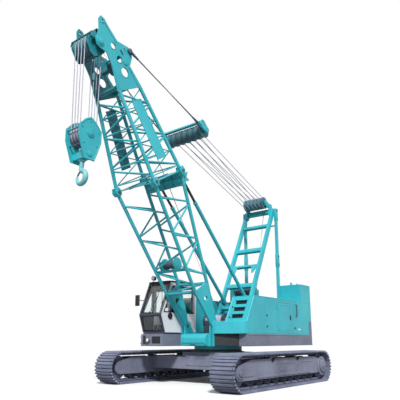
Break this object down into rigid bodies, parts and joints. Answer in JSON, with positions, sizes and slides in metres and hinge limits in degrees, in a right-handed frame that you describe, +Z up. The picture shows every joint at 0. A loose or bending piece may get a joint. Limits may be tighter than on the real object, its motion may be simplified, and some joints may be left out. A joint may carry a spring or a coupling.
{
  "type": "crawler crane",
  "caption": "Tracked crane with a slewing house, side cab, lattice boom held by a gantry, bridle and pendants, and a hook block under the boom head.",
  "frame": {"origin": "bottom centre of the crane's box at rest, on the ground between the tracks, 1.17 m ahead of the slewing axis", "axes": "+Z up, +X the way the boom points, +Y the machine's left side"},
  "size_m": [9.804, 5.12, 9.5999],
  "materials": {
    "teal_paint": "satin",
    "grey_paint": "satin",
    "dark_paint": "satin",
    "white_paint": "satin",
    "track_steel": "worn",
    "wire_rope": "greased",
    "window_glass": "clear",
    "seat_cover": "woven"
  },
  "bodies": {
    "undercarriage": {"carbody": "grey_paint", "slew_ring": "dark_paint", "track_frame_left": "grey_paint", "track_left": "track_steel", "track_wheels_left": "track_steel", "track_rollers_left": "track_steel", "track_frame_right": "grey_paint", "track_right": "track_steel", "track_wheels_right": "track_steel", "track_rollers_right": "track_steel"},
    "upper": {"turntable_frame": "teal_paint", "side_deck_left": "grey_paint", "side_deck_right": "grey_paint", "boom_foot_pins": "dark_paint", "house_left": "teal_paint", "house_right": "teal_paint", "engine_block": "dark_paint", "counterweight": "teal_paint", "main_hoist_winch": "teal_paint", "aux_hoist_winch": "teal_paint", "boom_hoist_winch": "teal_paint", "gantry_front_frame": "teal_paint", "gantry_rear_legs": "teal_paint", "cab_floor": "grey_paint", "cab_roof": "dark_paint", "cab_rear_wall": "dark_paint", "cab_side_left": "white_paint", "cab_side_right": "dark_paint", "cab_front": "dark_paint", "cab_glass": "window_glass", "operator_seat": "seat_cover", "control_console": "dark_paint", "counterweight_tray": "grey_paint"},
    "boom": {"boom_foot_section": "teal_paint", "boom_foot_lacing": "teal_paint", "boom_joint_lugs": "teal_paint", "boom_stop_beam": "teal_paint", "boom_top_section": "teal_paint", "boom_top_lacing": "teal_paint", "boom_head": "teal_paint", "boom_head_sheaves": "dark_paint", "boom_side_panels": "teal_paint"},
    "tackle": {"gantry_sheave_block": "teal_paint", "gantry_block_sheaves": "dark_paint"},
    "bridle": {"bridle": "teal_paint", "bridle_sheaves": "dark_paint"},
    "pendants": {"pendants": "wire_rope"},
    "backstop_tubes": {"backstop_tubes": "teal_paint"},
    "backstop_rods": {"backstop_rods": "dark_paint"},
    "overhoist_weight": {"overhoist_weight": "dark_paint"},
    "hook_block": {"hook_block": "teal_paint", "hook_sheaves": "dark_paint"},
    "hook": {"hook": "teal_paint"},
    "cab_door": {"cab_door": "white_paint", "cab_door_glass": "window_glass"},
    "house_door": {"house_left_door": "teal_paint"}
  },
  "joints": [
    {"name": "slew", "type": "hinge", "parent": "undercarriage", "child": "upper", "pos_m": [-1.17203, 0, 1.02], "axis": [0, 0, 1], "continuous": true},
    {"name": "boom_luff", "type": "hinge", "parent": "upper", "child": "boom", "pos_m": [-0.22203, 0, 1.73], "axis": [0, -1, 0], "range_deg": [-29.4, 18.6]},
    {"name": "tackle_swing", "type": "hinge", "parent": "upper", "child": "tackle", "pos_m": [-3.97203, 0, 6.33], "axis": [0, -1, 0], "range_deg": [-13.71, 8.69]},
    {"name": "bridle_travel", "type": "slide", "parent": "tackle", "child": "bridle", "axis": [0.9495, 0, 0.3136], "range_m": [-1.75007, 2.76566]},
    {"name": "pendant_swing", "type": "hinge", "parent": "bridle", "child": "pendants", "pos_m": [0.76131, 0, 7.8935], "axis": [0, -1, 0], "range_deg": [-21.53, 13.64]},
    {"name": "backstop_swing", "type": "hinge", "parent": "upper", "child": "backstop_tubes", "pos_m": [-2.22203, 0, 2.62], "axis": [0, -1, 0], "range_deg": [-24.1, 15.27]},
    {"name": "backstop_slide", "type": "slide", "parent": "backstop_tubes", "child": "backstop_rods", "axis": [0.7123, 0, 0.7018], "range_m": [-0.62996, 0.99517]},
    {"name": "hook_plumb", "type": "hinge", "parent": "boom", "child": "overhoist_weight", "pos_m": [4.55203, 0, 8.83991], "axis": [0, -1, 0], "range_deg": [-18.65, 29.45]},
    {"name": "hook_hoist", "type": "slide", "parent": "overhoist_weight", "child": "hook_block", "axis": [0, 0, -1], "range_m": [-0.95, 4.9]},
    {"name": "hook_swivel", "type": "hinge", "parent": "hook_block", "child": "hook", "pos_m": [4.55203, 0, 5.64], "axis": [0, 0, 1], "continuous": true},
    {"name": "cab_door_swing", "type": "hinge", "parent": "upper", "child": "cab_door", "pos_m": [-0.58803, -1.552, 2.3], "axis": [0, 0, -1], "range_deg": [0, 100]},
    {"name": "house_door_swing", "type": "hinge", "parent": "upper", "child": "house_door", "pos_m": [-2.38603, 1.552, 2], "axis": [0, 0, -1], "range_deg": [0, 100]}
  ],
  "couplings": [
    {"joint": "tackle_swing", "follows": "boom_luff", "ratio": 0.46473},
    {"joint": "bridle_travel", "follows": "boom_luff", "m_per_rad": -5.3879},
    {"joint": "pendant_swing", "follows": "boom_luff", "ratio": 0.73074},
    {"joint": "backstop_swing", "follows": "boom_luff", "ratio": 0.81804},
    {"joint": "backstop_slide", "follows": "boom_luff", "m_per_rad": -1.9375},
    {"joint": "hook_plumb", "follows": "boom_luff", "ratio": -1}
  ]
}
